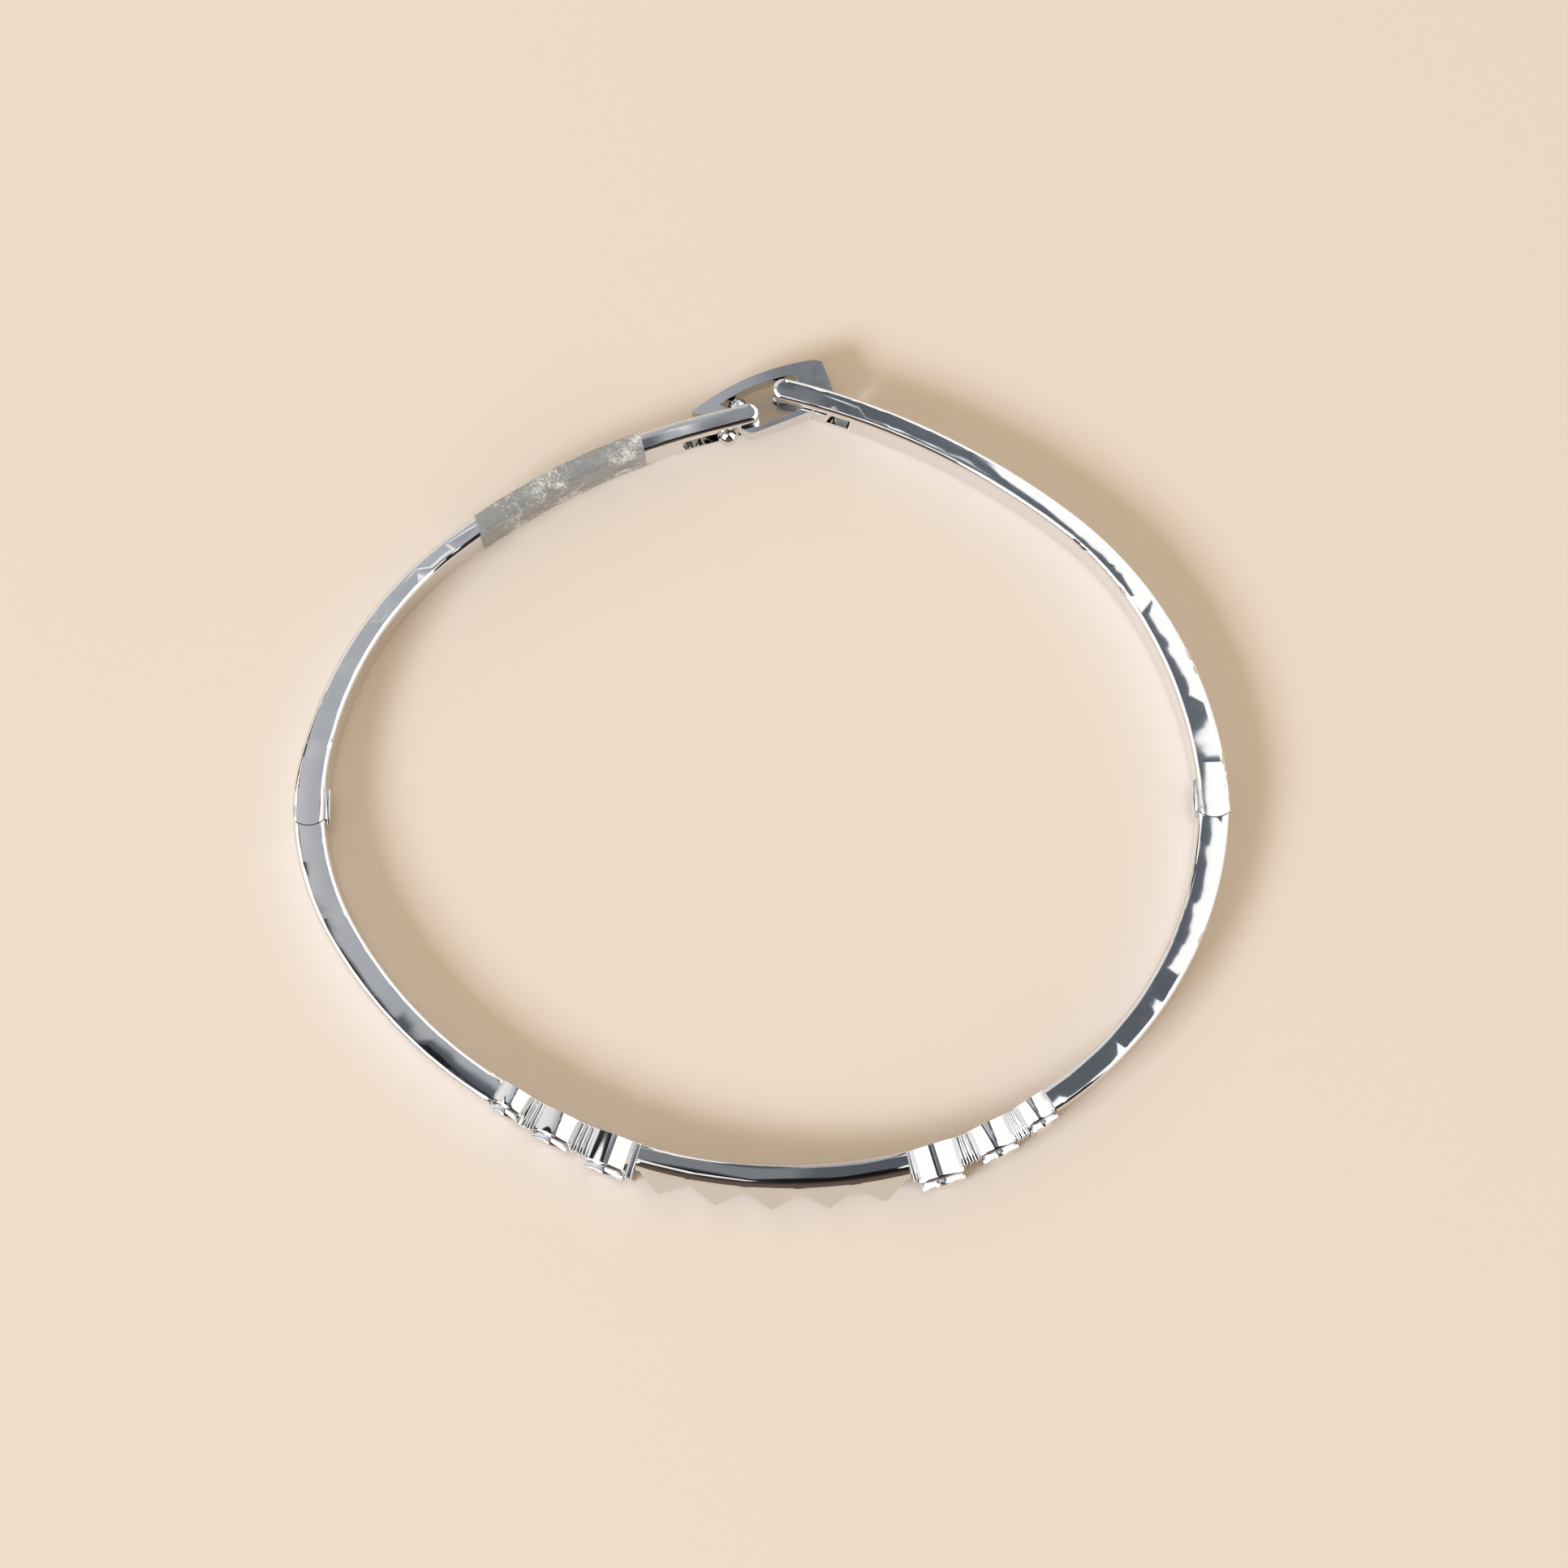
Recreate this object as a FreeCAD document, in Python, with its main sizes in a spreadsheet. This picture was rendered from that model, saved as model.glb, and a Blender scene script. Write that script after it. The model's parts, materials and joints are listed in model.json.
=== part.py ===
"""A hinged bangle bracelet of polished metal: a stiff front with five pyramids, six domed stations and
ribbed spacers, two rear arms on pins, and a swinging link clasp with a ball stud.

Millimetres. +X to the wearer's right, +Y to the clasp, +Z along the wrist. The bangle lies on one edge at Z = 0,
and the origin is under the middle of its outline.
"""

import FreeCAD, Part
import math
import os
from collections import namedtuple

SIZES = [
    # whole band
    ("band_height", 3.6, "along the wrist"),
    ("edge_round", 0.32, "rounding of the band's long edges"),
    ("seam_gap", 0.06, "gap round each hinge knuckle"),
    # hinges
    ("left_hinge_x", 30.05, "pin to middle plane"),
    ("left_hinge_y", -1.85, ""),
    ("right_hinge_x", 30.26, "pin to middle plane"),
    ("right_hinge_y", -1.3, ""),
    ("hinge_width", 2.1, "band thickness at the hinge"),
    ("knuckle_radius", 1.5, "rounded end of a rear arm"),
    ("tongue_radius", 1.0, "rounded end of the front bar's tongue"),
    ("tongue_height", 1.2, "tongue between the two cheeks"),
    ("tongue_play", 0.08, "tongue to cheek"),
    ("tongue_room", 0.25, "tongue's end to the fork's bottom"),
    ("tongue_root", 0.35, "tongue sunk in the front bar"),
    ("pin_radius", 0.4, "hinge pins"),
    ("pin_length", 3.0, "blind from below"),
    ("pin_play", 0.05, "running clearance in the tongue"),
    ("stop_thickness", 0.3, "plate on the inner side of each hinge"),
    ("stop_relief", 0.15, "plate to front bar"),
    ("stop_rise", 1.25, "plate above the pin"),
    ("stop_drop", 1.4, "plate below the pin"),
    ("stop_inset", 0.6, "plate from the band's edges"),
    # front curve, inner side
    ("front_x", 1.84, "lowest point of the front curve"),
    ("front_y", -25.99, "lowest point of the front curve"),
    ("front_radius", 33.0, "middle of the front"),
    ("front_half_sweep", 15.0, "degrees each side of the lowest point"),
    ("left_side_share", 0.505, "part of the turn by the left hinge"),
    ("right_side_share", 0.325, "part of the turn by the right hinge"),
    # centre bar and pyramids
    ("bar_shift", -0.94, "middle of the bar along the curve from the lowest point"),
    ("bar_length", 17.5, "along the inner side"),
    ("bar_depth", 1.75, "inner to outer side"),
    ("bar_outer_round", 0.85, "outer long edges"),
    ("pyramid_rise", 1.05, "apex above the bar"),
    ("pyramid_inset", 0.3, "base from the band's edges"),
    ("pyramid_sunk", 0.25, "base below the bar's surface"),
    ("pyramid_flat", 0.14, "blunt tip"),
    # stations, from the bar outwards
    ("left_inner_station_width", 2.75, ""),
    ("left_inner_station_depth", 2.6, ""),
    ("left_middle_station_width", 2.6, ""),
    ("left_middle_station_depth", 2.2, ""),
    ("left_outer_station_width", 2.25, ""),
    ("left_outer_station_depth", 1.95, ""),
    ("right_inner_station_width", 3.05, ""),
    ("right_inner_station_depth", 2.75, ""),
    ("right_middle_station_width", 2.7, ""),
    ("right_middle_station_depth", 2.35, ""),
    ("right_outer_station_width", 2.25, ""),
    ("right_outer_station_depth", 2.05, ""),
    ("station_arch", 0.42, "rise of the arched top and bottom"),
    ("station_round", 0.25, "outer edge of a station"),
    ("collar_depth", 0.14, "groove under the rim"),
    ("collar_inset", 0.2, "groove under the rim"),
    ("rim_depth", 0.22, "rim round the dome"),
    ("rim_inset", 0.06, "rim inside the station's outline"),
    ("dome_margin", 0.4, "dome inside the rim"),
    ("dome_rise", 0.22, "dome above the rim"),
    # spacers
    ("left_end_spacer_width", 0.46, "between the bar and the inner station"),
    ("left_inner_spacer_width", 1.1, "between two stations"),
    ("left_outer_spacer_width", 0.94, "between two stations"),
    ("right_end_spacer_width", 0.3, "between the bar and the inner station"),
    ("right_inner_spacer_width", 0.95, "between two stations"),
    ("right_outer_spacer_width", 0.75, "between two stations"),
    ("spacer_core_depth", 1.5, ""),
    ("spacer_inset", 0.22, "core under the ribs"),
    ("rib_depth", 2.0, ""),
    ("rib_round", 0.1, ""),
    ("end_block_depth", 2.45, "round-ended block by the bar"),
    # front bars
    ("left_front_bar_depth", 1.85, "at the outer station"),
    ("right_front_bar_depth", 1.7, "at the outer station"),
    ("front_bar_share", 0.5, "part of the turn by the hinge"),
    # rear arms
    ("left_arm_lean", 1.2, "degrees, at the hinge"),
    ("left_outer_share", 0.185, "part of the turn by the hinge, outer side"),
    ("left_inner_share", 0.25, "part of the turn by the hinge, inner side"),
    ("left_flat_radius", 46.2, "middle line before the tip"),
    ("left_flat_sweep", 23.8, "degrees"),
    ("left_tip_straight", 4.0, ""),
    ("left_tip_x", -0.1, ""),
    ("left_tip_y", 25.09, ""),
    ("left_tip_slope", 14.85, "degrees"),
    ("left_tip_width", 1.4, "arm thickness at the clasp"),
    ("right_arm_lean", 4.4, "degrees, at the hinge"),
    ("right_outer_share", 0.51, "part of the turn by the hinge, outer side"),
    ("right_inner_share", 0.58, "part of the turn by the hinge, inner side"),
    ("right_flat_radius", 49.9, "middle line before the tip"),
    ("right_flat_sweep", 23.7, "degrees"),
    ("right_tip_straight", 1.5, ""),
    ("right_tip_x", 0.85, ""),
    ("right_tip_y", 26.75, ""),
    ("right_tip_slope", 14.4, "degrees"),
    ("right_tip_width", 1.53, "arm thickness at the clasp"),
    # clasp
    ("slot_height", 2.1, "slot through each arm's tip"),
    ("left_slot_length", 5.5, "from the tip"),
    ("right_slot_length", 5.6, "from the tip"),
    ("pivot_from_tip", 3.54, "clasp pin along the right arm"),
    ("pivot_pin_radius", 0.35, ""),
    ("pivot_pin_length", 3.1, "blind from below"),
    ("link_thickness", 1.8, "between the prongs"),
    ("link_back", 4.37, "link's far end along the left arm from its tip"),
    ("link_out", 1.27, "link's far end from the left arm's middle line"),
    ("eye_radius", 0.95, "round the pin"),
    ("eye_top", 215, "degrees from the link's axis, where the heel joins"),
    ("eye_back", 130, "degrees from the link's axis"),
    ("eye_foot", 35, "degrees from the link's axis, where the thin rail joins"),
    ("heel_along", 0.42, "squared end"),
    ("heel_out", 2.99, "squared end"),
    ("heel_chamfer", 0.54, "squared end"),
    ("crest_back", 3.95, "top of the arch from the far end"),
    ("crest_out", 2.05, "top of the arch"),
    ("corner_back", 4.3, "lower corner from the far end"),
    ("corner_in", 1.74, "lower corner"),
    ("corner_share", 0.25, "rounded part of the slanted bar's foot"),
    ("corner_lift", 0.08, "rounded foot outside the straight line"),
    ("corner_bulge", 0.19, "rounded foot outside its own chord"),
    ("rail_width", 0.92, "arched rail by the squared end"),
    ("blade_width", 0.32, "thin lower rail"),
    ("window_near", 1.8, "window's end from the pin"),
    ("window_slant", 0.73, "the same end at the thin rail"),
    ("window_foot", 0.25, "window's corner by the pin"),
    ("window_crest_back", 4.55, "window's arch from the far end"),
    ("window_crest_out", 1.55, "window's arch"),
    ("window_far", 1.9, "window from the far end"),
    ("window_far_out", 0.35, "window's corner by the far end"),
    ("stud_back", 2.75, "ball stud from the far end"),
    ("stud_in", 0.72, "ball stud's middle"),
    ("ball_radius", 0.72, ""),
    ("ball_spacing", 2.03, "centre to centre"),
    ("shank_radius", 0.35, ""),
    # protective film
    ("film_from", 8.2, "along the arm from the left tip"),
    ("film_length", 12.5, ""),
    ("film_gap", 0.04, ""),
    ("film_thickness", 0.12, ""),
    ("film_clear", 0.15, "above the surface it lies on"),
]

doc = FreeCAD.newDocument("bangle")
sheet = doc.addObject("Spreadsheet::Sheet", "sizes")
for row, (alias, value, note) in enumerate(SIZES, start=1):
    sheet.set("A%d" % row, alias)
    sheet.set("B%d" % row, str(value))
    sheet.set("C%d" % row, note)
    sheet.setAlias("B%d" % row, alias)
doc.recompute()

UP = FreeCAD.Vector(0, 0, 1)
nodes = []


def size(alias):
    return float(sheet.get(alias))


def flat(x, y):
    return FreeCAD.Vector(x, y, 0)


def toward(degrees):
    return flat(math.cos(math.radians(degrees)), math.sin(math.radians(degrees)))


def left_of(degrees):
    return toward(degrees + 90)


# Curves in the plane: an arc runs from start to end, turning left (+1) or right (-1) about its centre

Arc = namedtuple("Arc", "centre start end turn")


def arc_radius(arc):
    return (arc.start - arc.centre).Length


def bearing(vector):
    return math.degrees(math.atan2(vector.y, vector.x))


def arc_sweep(arc):
    return (arc.turn * (bearing(arc.end - arc.centre) - bearing(arc.start - arc.centre))) % 360


def arc_length(arc):
    return arc_radius(arc) * math.radians(arc_sweep(arc))


def backwards(path):
    return [Arc(arc.centre, arc.end, arc.start, -arc.turn) for arc in reversed(path)]


def point_on(arc, distance):
    angle = bearing(arc.start - arc.centre) + arc.turn * math.degrees(distance / arc_radius(arc))
    return arc.centre + toward(angle) * arc_radius(arc), angle + 90 * arc.turn


def place_on(path, distance):
    """The point and the heading at a distance along a path."""
    for arc in path[:-1]:
        if distance <= arc_length(arc):
            return point_on(arc, distance)
        distance -= arc_length(arc)
    return point_on(path[-1], distance)


def piece_of(path, begin, finish):
    """The arcs of a path between two distances along it."""
    pieces = []
    for arc in path:
        length = arc_length(arc)
        low = max(begin, 0.0)
        high = min(finish, length)
        if high - low > 1e-6:
            pieces.append(Arc(arc.centre, point_on(arc, low)[0], point_on(arc, high)[0], arc.turn))
        begin -= length
        finish -= length
    return pieces


def beside(path, distance):
    """The same path, moved away from its centres."""
    moved = []
    for arc in path:
        scale = (arc_radius(arc) + distance) / arc_radius(arc)
        start = arc.centre + (arc.start - arc.centre) * scale
        end = arc.centre + (arc.end - arc.centre) * scale
        moved.append(Arc(arc.centre, start, end, arc.turn))
    return moved


def cross(a, b):
    return a.x * b.y - a.y * b.x


def tangent_arcs(start, heading, end, end_heading, share):
    """Two tangent arcs that close the way from start to end; the first takes its share of the turn."""
    turned = (end_heading - heading + 180) % 360 - 180
    turn = 1 if turned > 0 else -1
    normals = [left_of(heading + turned * part) * turn for part in (0, share, 1)]
    first_step = normals[0] - normals[1]
    second_step = normals[1] - normals[2]
    way = end - start
    first_radius = cross(way, second_step) / cross(first_step, second_step)
    second_radius = cross(first_step, way) / cross(first_step, second_step)
    if min(first_radius, second_radius) <= 0:
        raise RuntimeError("the two ends can't be joined by arcs of one turn")
    joint = start + first_step * first_radius
    first_centre = start + normals[0] * first_radius
    second_centre = end + normals[2] * second_radius
    return [Arc(first_centre, start, joint, turn), Arc(second_centre, joint, end, turn)]


def curve(arc):
    low = math.radians(bearing(arc.start - arc.centre))
    high = math.radians(bearing(arc.end - arc.centre))
    if arc.turn < 0:
        low, high = high, low
    return Part.ArcOfCircle(Part.Circle(arc.centre, UP, arc_radius(arc)), low, high)


def line(start, end):
    return Part.LineSegment(start, end)


def lines(*points):
    return [line(a, b) for a, b in zip(points, points[1:])]


def curves(path):
    return [curve(arc) for arc in path]


def ring(centre, radius):
    return [Part.Circle(centre, UP, radius)]


# Features: every outline is a sketch, and every height and rounding is bound to a cell of the sheet


def new_body(label, kept=True):
    """A body that is a node of its own, or a blank for a boolean that follows."""
    body = doc.addObject("PartDesign::Body", label)
    body.Label = label
    if kept:
        nodes.append(body)
    return body


def sketch_in(body, name, outline, role="XY_Plane", level="0"):
    sketch = body.newObject("Sketcher::SketchObject", name)
    plane = next(item for item in body.Origin.OriginFeatures if item.Role == role)
    sketch.AttachmentSupport = [(plane, "")]
    sketch.MapMode = "FlatFace"
    sketch.setExpression("AttachmentOffset.Base.z", level)
    for item in outline:
        sketch.addGeometry(item, False)
    return sketch


def extrude(body, name, outline, length, level="0", role="XY_Plane", kind="PartDesign::Pad"):
    sketch = sketch_in(body, name + "_outline", outline, role, level)
    feature = body.newObject(kind, name)
    feature.Profile = sketch
    feature.setExpression("Length", length)
    doc.recompute()
    return feature


def cut(body, name, outline, depth, level):
    """A pocket that goes down by depth from the height given; it must take something away."""
    before = body.Shape.Volume
    feature = extrude(body, name, outline, depth, level, kind="PartDesign::Pocket")
    if body.Shape.Volume >= before - 1e-6:
        raise RuntimeError(name + " cuts nothing")
    return feature


def round_edges(body, name, base, radius, wanted):
    feature = body.newObject("PartDesign::Fillet", name)
    chosen = ["Edge%d" % number for number, edge in enumerate(base.Shape.Edges, start=1) if wanted(edge)]
    feature.Base = (base, chosen)
    feature.setExpression("Radius", radius)
    doc.recompute()
    return feature


def is_level(edge):
    return edge.BoundBox.ZLength < 1e-6


def mid_point(edge):
    return edge.valueAt((edge.FirstParameter + edge.LastParameter) / 2)


def along(path):
    """Chooses the level edges that follow the arcs of a path."""

    def wanted(edge):
        middle = mid_point(edge)
        spot = flat(middle.x, middle.y)
        return is_level(edge) and any(
            abs((spot - arc.centre).Length - arc_radius(arc)) < 1e-4
            and (spot - (arc.start + arc.end) * 0.5).Length < (arc.start - arc.end).Length / 2
            for arc in path
        )

    return wanted


def away_from(points, reach):
    """Chooses the level edges whose middle is out of reach of all the points."""

    def wanted(edge):
        middle = mid_point(edge)
        spot = flat(middle.x, middle.y)
        return is_level(edge) and all((spot - point).Length > reach for point in points)

    return wanted


height = size("band_height")
SIDES = {"left": -1, "right": 1}


def hinge(side):
    return flat(SIDES[side] * size(side + "_hinge_x"), size(side + "_hinge_y"))


def hinge_edge(side, out):
    """A point level with the pin on the band's inner (-1) or outer (+1) side."""
    return hinge(side) + flat(SIDES[side] * out * size("hinge_width") / 2, 0)


def knuckle_drop(radius):
    return math.sqrt(radius**2 - (size("hinge_width") / 2) ** 2)


# The front's inner side, from the left hinge round to the right one

front_centre = flat(size("front_x"), size("front_y") + size("front_radius"))


def front_end(side):
    return front_centre + toward(-90 + SIDES[side] * size("front_half_sweep")) * size("front_radius")


left_flank = tangent_arcs(
    hinge_edge("left", -1), -90, front_end("left"), -size("front_half_sweep"), size("left_side_share")
)
right_flank = tangent_arcs(
    hinge_edge("right", -1), -90, front_end("right"), 180 + size("front_half_sweep"), size("right_side_share")
)
front_path = left_flank + [Arc(front_centre, front_end("left"), front_end("right"), 1)] + backwards(right_flank)
lowest = sum(arc_length(arc) for arc in left_flank) + size("front_radius") * math.radians(size("front_half_sweep"))
bar_middle = lowest + size("bar_shift")


# Stations stand square to the curve; each is kept as its place, heading, width and depth

Seat = namedtuple("Seat", "point heading width depth")
STATIONS = ["inner", "middle", "outer"]
seats = {}
for side, way in SIDES.items():
    reach = size("bar_length") / 2
    for station, spacer in zip(STATIONS, ("end", "inner", "outer")):
        reach += size("%s_%s_spacer_width" % (side, spacer))
        width = size("%s_%s_station_width" % (side, station))
        point, heading = place_on(front_path, bar_middle + way * (reach + width / 2))
        seats[side, station] = Seat(point, heading, width, size("%s_%s_station_depth" % (side, station)))
        reach += width


def seat_side(seat, way, depth):
    """A point on a station's flank, way -1 towards the left hinge and +1 towards the right one."""
    return seat.point + toward(seat.heading) * (way * seat.width / 2) - left_of(seat.heading) * depth


def cushion(width, tall, arch):
    """A station seen from outside: upright sides, arched top and bottom."""
    low = -tall / 2 + arch
    high = tall / 2 - arch
    half = width / 2
    top = Part.Arc(FreeCAD.Vector(half, high, 0), FreeCAD.Vector(0, tall / 2, 0), FreeCAD.Vector(-half, high, 0))
    base = Part.Arc(FreeCAD.Vector(-half, low, 0), FreeCAD.Vector(0, -tall / 2, 0), FreeCAD.Vector(half, low, 0))
    left = line(FreeCAD.Vector(-half, high, 0), FreeCAD.Vector(-half, low, 0))
    right = line(FreeCAD.Vector(half, low, 0), FreeCAD.Vector(half, high, 0))
    return [top, left, base, right]


def outward_placement(seat):
    """Local X along the band, local Y along the wrist, local Z outwards."""
    along = toward(seat.heading)
    outward = left_of(seat.heading) * -1
    frame = FreeCAD.Matrix(
        along.x, 0, outward.x, seat.point.x,
        along.y, 0, outward.y, seat.point.y,
        0, 1, 0, height / 2,
        0, 0, 0, 1,
    )
    return FreeCAD.Placement(frame)


def make_station(side, station):
    name = "%s_%s_station" % (side, station)
    seat = seats[side, station]
    width = seat.width
    body = new_body(name + "_blank", kept=False)
    barrel = "sizes.%s_depth - sizes.rim_depth - sizes.collar_depth" % name
    base = extrude(body, name + "_barrel", cushion(width, height, size("station_arch")), barrel)
    depth = base.Length.Value
    round_edges(
        body, name + "_shoulder", base, "sizes.station_round",
        lambda edge: abs(edge.BoundBox.ZMin - depth) < 1e-6 and is_level(edge),
    )
    inset = size("collar_inset")
    neck = cushion(width - 2 * inset, height - 2 * inset, size("station_arch"))
    extrude(body, name + "_neck", neck, "sizes.collar_depth", barrel)
    inset = size("rim_inset")
    rim = cushion(width - 2 * inset, height - 2 * inset, size("station_arch"))
    extrude(body, name + "_rim", rim, "sizes.rim_depth", barrel + " + sizes.collar_depth")
    body.Placement = outward_placement(seat)

    dome = doc.addObject("Part::Ellipsoid", "%s_%s_dome" % (side, station))
    dome.Label = dome.Name
    dome.setExpression("Radius1", "sizes.dome_rise")
    dome.setExpression("Radius2", "sizes.%s_width / 2 - sizes.dome_margin" % name)
    dome.setExpression("Radius3", "sizes.band_height / 2 - sizes.dome_margin - sizes.rim_inset")
    top = outward_placement(seat)
    dome.Placement = top.multiply(FreeCAD.Placement(FreeCAD.Vector(0, 0, seat.depth), FreeCAD.Rotation()))
    nodes.append(dome)

    seated = doc.addObject("Part::Cut", name)
    seated.Base = body
    seated.Tool = dome
    seated.Label = name
    nodes.append(seated)


for side in SIDES:
    for station in STATIONS:
        make_station(side, station)


# Centre bar: a curved bar with five four-sided pyramids on its outer side


def make_centre_bar():
    body = new_body("centre_bar_blank", kept=False)
    inner = piece_of(front_path, bar_middle - size("bar_length") / 2, bar_middle + size("bar_length") / 2)
    outer = beside(inner, size("bar_depth"))
    outline = curves(inner) + [line(inner[-1].end, outer[-1].end)] + curves(outer)
    outline += [line(outer[0].start, inner[0].start)]
    bar = extrude(body, "centre_bar", outline, "sizes.band_height")
    rounded = round_edges(body, "bar_inner_rounding", bar, "sizes.edge_round", along(inner))
    round_edges(body, "bar_outer_rounding", rounded, "sizes.bar_outer_round", along(outer))

    pieces = [body]
    pitch = size("bar_length") / 5
    for number in range(5):
        point, heading = place_on(front_path, bar_middle + (number - 2) * pitch)
        pieces.append(make_pyramid(number, Seat(point, heading, pitch, size("bar_depth"))))
    fused = doc.addObject("Part::MultiFuse", "centre_pyramid_bar")
    fused.Shapes = pieces
    fused.Label = "centre_pyramid_bar"
    nodes.append(fused)


def make_pyramid(number, seat):
    """A pyramid sunk in the bar; it meets its neighbours at the surface, and ends with the bar."""
    wedge = doc.addObject("Part::Wedge", "pyramid_%d" % number)
    sunk = size("pyramid_sunk")
    half_width = seat.width / 2 * (size("front_radius") + seat.depth - sunk) / size("front_radius")
    shared = half_width * (1 + sunk / size("pyramid_rise"))
    half_tall = height / 2 - size("pyramid_inset")
    blunt = size("pyramid_flat") / 2
    wedge.Xmin = -half_width if number == 0 else -shared
    wedge.Xmax = half_width if number == 4 else shared
    wedge.Zmin = -half_tall
    wedge.Zmax = half_tall
    wedge.Ymin = 0
    wedge.Ymax = size("pyramid_rise") + sunk
    wedge.X2min = -blunt
    wedge.X2max = blunt
    wedge.Z2min = -blunt
    wedge.Z2max = blunt
    turned = FreeCAD.Placement(FreeCAD.Vector(0, 0, seat.depth - sunk), FreeCAD.Rotation(FreeCAD.Vector(1, 0, 0), 90))
    wedge.Placement = outward_placement(seat).multiply(turned)
    return wedge


make_centre_bar()


# Spacers: a plain core with rounded ribs that stand proud of it


def make_rib(name, point, heading, thick, deep):
    """A rounded plate, square to the curve."""
    box = doc.addObject("Part::Box", name + "_box")
    box.Length = thick
    box.setExpression("Height", "sizes.band_height - 2 * sizes.rib_round")
    box.Width = deep
    box.Placement = FreeCAD.Placement(
        point - toward(heading) * (thick / 2) - left_of(heading) * deep + UP * size("rib_round"),
        FreeCAD.Rotation(UP, heading),
    )
    doc.recompute()
    rounded = doc.addObject("Part::Fillet", name)
    rounded.Base = box
    radius = size("rib_round")
    rounded.Edges = [(number, radius, radius) for number in range(1, 13)]
    return rounded


def make_spacer(name, low, high, ribs, block):
    """low and high are the flanks it fills: each a function from depth to a point."""
    thick = (high(0) - low(0)).Length / ribs
    along = high(0) - low(0)
    heading = bearing(along)
    core_outline = lines(low(0), high(0), high(size("spacer_core_depth")), low(size("spacer_core_depth")), low(0))
    core = new_body(name + "_core", kept=False)
    extrude(
        core, name + "_core_pad", core_outline,
        "sizes.band_height - 2 * sizes.spacer_inset", "sizes.spacer_inset",
    )
    pieces = [core]
    for number in range(ribs):
        part_way = (number + 0.5) / ribs
        deep = size("end_block_depth") if number == block else size("rib_depth")
        outer = low(deep) * (1 - part_way) + high(deep) * part_way
        inner = low(0) * (1 - part_way) + high(0) * part_way
        rib_heading = bearing(inner - outer) - 90
        pieces.append(make_rib("%s_rib_%d" % (name, number), inner, rib_heading, thick, deep))
    fused = doc.addObject("Part::MultiFuse", name)
    fused.Shapes = pieces
    fused.Label = name
    nodes.append(fused)


def bar_side(way):
    point, heading = place_on(front_path, bar_middle + way * size("bar_length") / 2)
    return lambda depth: point - left_of(heading) * depth


def flank(seat, way):
    return lambda depth: seat_side(seat, way, depth)


for side, way in SIDES.items():
    inner, middle, outer = [seats[side, station] for station in STATIONS]
    gaps = [
        (side + "_end_spacer", bar_side(way), flank(inner, -way), 1, 0 if way < 0 else None),
        (side + "_inner_spacer", flank(inner, way), flank(middle, -way), 3, None),
        (side + "_outer_spacer", flank(middle, way), flank(outer, -way), 3, None),
    ]
    for name, near_side, far_side, ribs, block in gaps:
        if way < 0:
            near_side, far_side = far_side, near_side
        make_spacer(name, near_side, far_side, ribs, block)


# Front bars: from the outer station to the hinge, with a tongue that enters the rear arm's fork


def make_front_bar(side):
    way = SIDES[side]
    name = side + "_front_bar"
    seat = seats[side, "outer"]
    end_in = seat_side(seat, way, 0)
    end_out = seat_side(seat, way, size(side + "_front_bar_depth"))
    heading = seat.heading if way < 0 else seat.heading + 180
    share = size("front_bar_share")
    inner = tangent_arcs(hinge_edge(side, -1), -90, end_in, heading, share)
    outer = tangent_arcs(hinge_edge(side, 1), -90, end_out, heading, share)
    outline = curves(inner) + [line(end_in, end_out)] + curves(outer)
    outline += [line(hinge_edge(side, 1), hinge_edge(side, -1))]
    body = new_body(name)
    bar = extrude(body, name + "_bar", outline, "sizes.band_height")
    round_edges(body, name + "_rounding", bar, "sizes.edge_round", along(inner + outer))
    pin = hinge(side)
    shoulder = ring(pin, size("knuckle_radius") + size("seam_gap"))
    cut(body, name + "_shoulder", shoulder, "sizes.band_height + 1", "sizes.band_height + 0.5")
    half = size("tongue_radius")
    root = size("knuckle_radius") + size("seam_gap") + size("tongue_root")
    round_end = Arc(pin, pin + flat(half, 0), pin + flat(-half, 0), 1)
    tongue = [curve(round_end)] + lines(
        pin + flat(-half, 0), pin + flat(-half, -root), pin + flat(half, -root), pin + flat(half, 0)
    )
    extrude(
        body, name + "_tongue", tongue, "sizes.tongue_height", "(sizes.band_height - sizes.tongue_height) / 2"
    )
    bore = ring(pin, size("pin_radius") + size("pin_play"))
    cut(body, name + "_bore", bore, "sizes.band_height", "sizes.band_height")


for side in SIDES:
    make_front_bar(side)


# Rear arms: fork and knuckle at the hinge, a long curve, and a slotted tip at the clasp


def tip(side):
    return flat(size(side + "_tip_x"), size(side + "_tip_y"))


def tip_heading(side):
    slope = size(side + "_tip_slope")
    return slope if side == "left" else 180 - slope


def arm_heading(side):
    return 90 + SIDES[side] * size(side + "_arm_lean")


def arm_foot(side, out, drop=0):
    """The arm's inner (-1) or outer (+1) side level with the pin, or a little below it."""
    heading = arm_heading(side)
    across = left_of(heading) * (-SIDES[side] * out * size("hinge_width") / 2)
    return hinge(side) + across - toward(heading) * drop


def arm_edge(side, out):
    """The inner (-1) or outer (+1) side of a rear arm: its arcs, and the straight run to the tip."""
    way = SIDES[side]
    turn = way
    heading = tip_heading(side)
    outward = left_of(heading) * -way
    half = size(side + "_tip_width") / 2
    end = tip(side) + outward * (out * half)
    straight = end - toward(heading) * size(side + "_tip_straight")
    radius = size(side + "_flat_radius") + out * half
    centre = straight + left_of(heading) * (turn * radius)
    before = heading - turn * size(side + "_flat_sweep")
    flat_start = centre - left_of(before) * (turn * radius)
    share = size(side + ("_outer_share" if out > 0 else "_inner_share"))
    path = tangent_arcs(arm_foot(side, out), arm_heading(side), flat_start, before, share)
    return path + [Arc(centre, flat_start, straight, turn)], end - toward(heading) * half


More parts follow.
